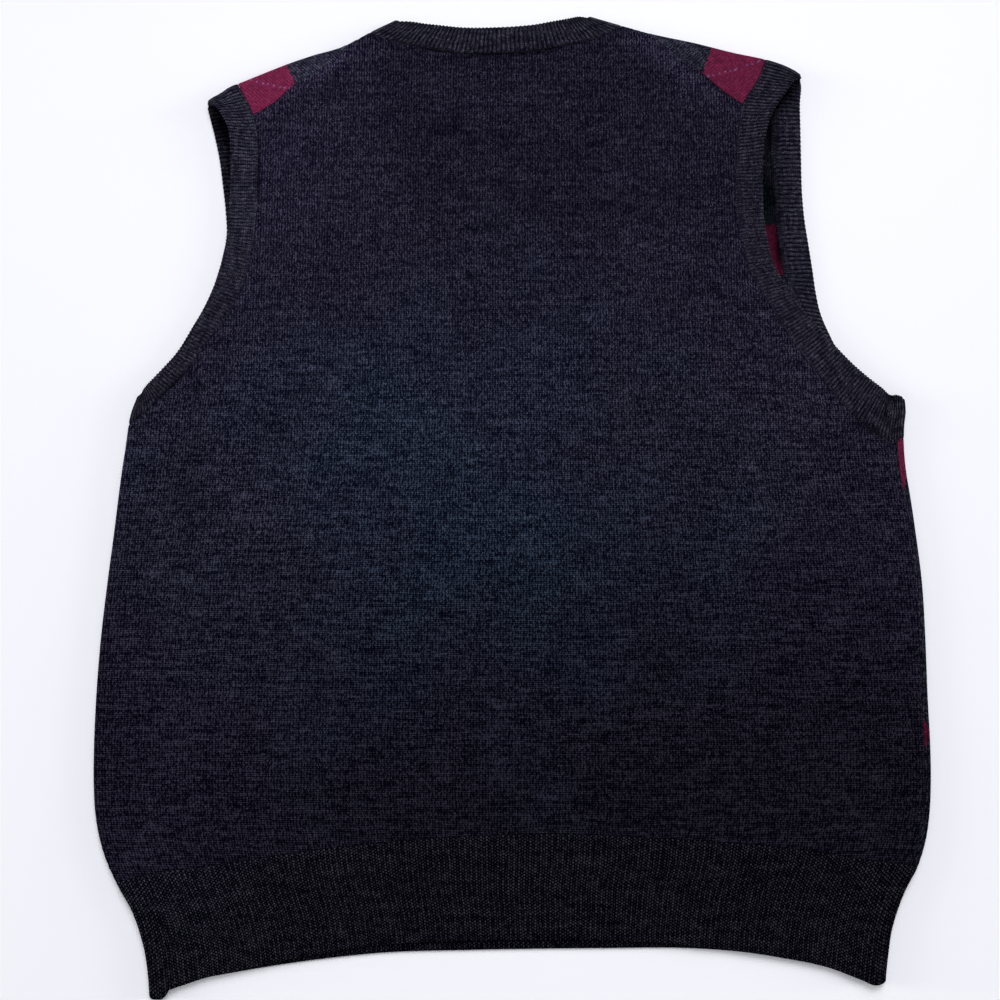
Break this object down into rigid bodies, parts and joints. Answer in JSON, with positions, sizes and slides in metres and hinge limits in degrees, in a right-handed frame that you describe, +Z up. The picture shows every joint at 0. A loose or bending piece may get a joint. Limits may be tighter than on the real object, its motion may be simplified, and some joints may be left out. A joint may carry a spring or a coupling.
{
  "type": "knitted sweater vest",
  "caption": "V-neck knitted slipover vest laid flat on its front, with ribbed hem, neckband and armhole bands over a plain back and an argyle front.",
  "frame": {"origin": "middle of the vest's footprint, on the surface that it lies on", "axes": "+Y from the hem to the neck, +X to the right as seen from above, +Z up out of the vest's back"},
  "size_m": [0.5715, 0.6941, 0.006],
  "materials": {
    "charcoal_knit": "fine plain knit, matte, near-black charcoal with a blue cast",
    "argyle_knit": "fine plain knit, matte, burgundy diamonds on charcoal with thin lilac lines",
    "charcoal_rib": "ribbed knit, matte, near-black charcoal"
  },
  "bodies": {
    "root": {"back_panel": "charcoal_knit", "front_panel": "argyle_knit", "back_hem": "charcoal_rib", "front_hem": "charcoal_rib", "neckband": "charcoal_rib", "armhole_band_left": "charcoal_rib", "armhole_band_right": "charcoal_rib"}
  },
  "joints": []
}
